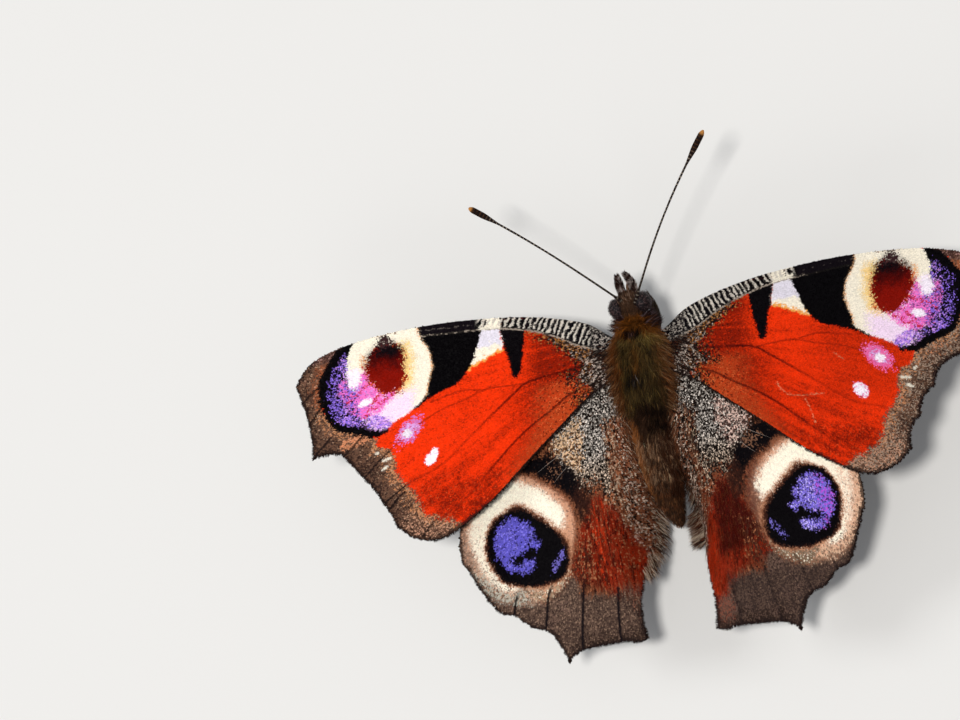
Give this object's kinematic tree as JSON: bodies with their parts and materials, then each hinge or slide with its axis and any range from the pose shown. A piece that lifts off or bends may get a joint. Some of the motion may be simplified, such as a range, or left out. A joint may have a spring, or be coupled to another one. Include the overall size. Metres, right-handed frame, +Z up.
{
  "type": "peacock butterfly",
  "caption": "Life-size peacock butterfly standing with its wings spread flat: red wings with eyespots, furry body, clubbed antennae, coiled tongue and splayed legs.",
  "frame": {"origin": "on the floor, under the centre of the part's box", "axes": "+Z up, +X to the insect's left, -Y the way the head points"},
  "size_m": [0.066, 0.0454, 0.0157],
  "materials": {
    "fur_head": "short dark brown hair",
    "eye": "dark brown, faceted, thinly haired",
    "feeler": "black-brown with fine white rings",
    "club": "dark brown with a cream tip",
    "tongue": "dark brown",
    "fur_thorax": "olive and rusty brown hair",
    "fur_abdomen": "dark brown hair",
    "forewing": "scaled, orange-red with black, cream and violet marks",
    "hindwing": "scaled, brown and dark red with a blue eyespot",
    "leg": "brown, thinly haired"
  },
  "bodies": {
    "root": {"head": "fur_head", "eye_left": "eye", "palp_left": "fur_head", "antenna_left": "feeler", "antenna_club_left": "club", "forewing_left": "forewing", "hindwing_left": "hindwing", "foreleg_left": "leg", "midleg_left": "leg", "hindleg_left": "leg", "eye_right": "eye", "palp_right": "fur_head", "antenna_right": "feeler", "antenna_club_right": "club", "forewing_right": "forewing", "hindwing_right": "hindwing", "foreleg_right": "leg", "midleg_right": "leg", "hindleg_right": "leg", "proboscis": "tongue", "collar": "fur_thorax", "thorax": "fur_thorax", "abdomen": "fur_abdomen"}
  },
  "joints": []
}
